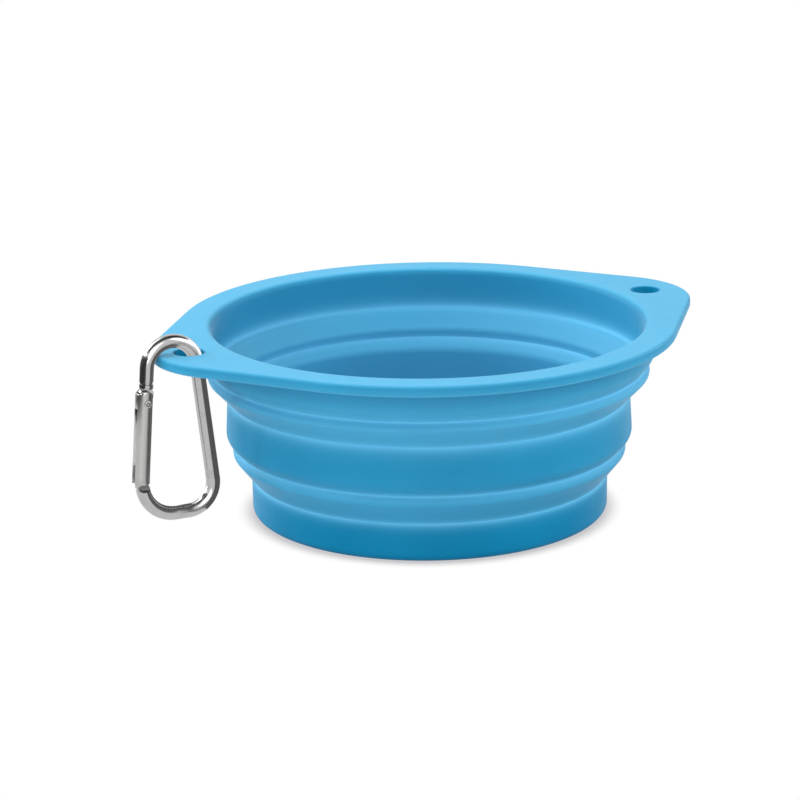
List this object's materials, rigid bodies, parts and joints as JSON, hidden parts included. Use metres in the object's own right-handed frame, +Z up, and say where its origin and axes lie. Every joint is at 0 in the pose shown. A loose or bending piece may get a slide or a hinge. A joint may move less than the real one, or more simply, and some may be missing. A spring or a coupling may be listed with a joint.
{
  "type": "collapsible pet bowl",
  "caption": "Sky-blue silicone travel pet bowl, shown open, with folding rings, an eared flange and a small aluminium carabiner with a sprung gate.",
  "frame": {"origin": "centre of the base's underside", "axes": "+X to the bare ear, -X to the ear that the carabiner hangs in, +Z up out of the bowl's mouth"},
  "size_m": [0.1637, 0.1328, 0.0577],
  "materials": {
    "silicone": "smooth satin silicone, sky blue",
    "aluminium": "polished",
    "steel": "bright drawn wire"
  },
  "bodies": {
    "base": {"base_cup": "silicone", "lower_fold": "silicone"},
    "middle": {"middle_band": "silicone", "upper_fold": "silicone"},
    "rim": {"rim_with_ears": "silicone"},
    "carabiner": {"carabiner_frame": "aluminium"},
    "gate": {"carabiner_gate": "aluminium", "gate_rivet": "steel", "latch_pin": "steel", "gate_spring": "steel"},
    "plunger": {"spring_plunger": "steel"}
  },
  "joints": [
    {"name": "lower_fold_collapse", "type": "slide", "parent": "base", "child": "middle", "axis": [0, 0, -1], "range_m": [0, 0.0174], "deforming": ["lower_fold"]},
    {"name": "upper_fold_collapse", "type": "slide", "parent": "middle", "child": "rim", "axis": [0, 0, -1], "range_m": [0, 0.0158], "deforming": ["upper_fold"]},
    {"name": "carabiner_swing", "type": "hinge", "parent": "rim", "child": "carabiner", "pos_m": [-0.0739, 0, 0.049], "axis": [0, 1, 0], "range_deg": [-12, 165]},
    {"name": "gate_swing", "type": "hinge", "parent": "carabiner", "child": "gate", "pos_m": [-0.08175, 0, 0.04061], "axis": [0, -1, 0], "range_deg": [0, 28], "stiffness_Nm_per_rad": 0.01, "springref_deg": -28.65},
    {"name": "plunger_slide", "type": "slide", "parent": "gate", "child": "plunger", "axis": [-0.0806, 0, -0.9967], "range_m": [0, 0.0004], "deforming": ["gate_spring"]}
  ],
  "couplings": [
    {"joint": "plunger_slide", "follows": "gate_swing", "m_per_rad": 0.00077}
  ]
}
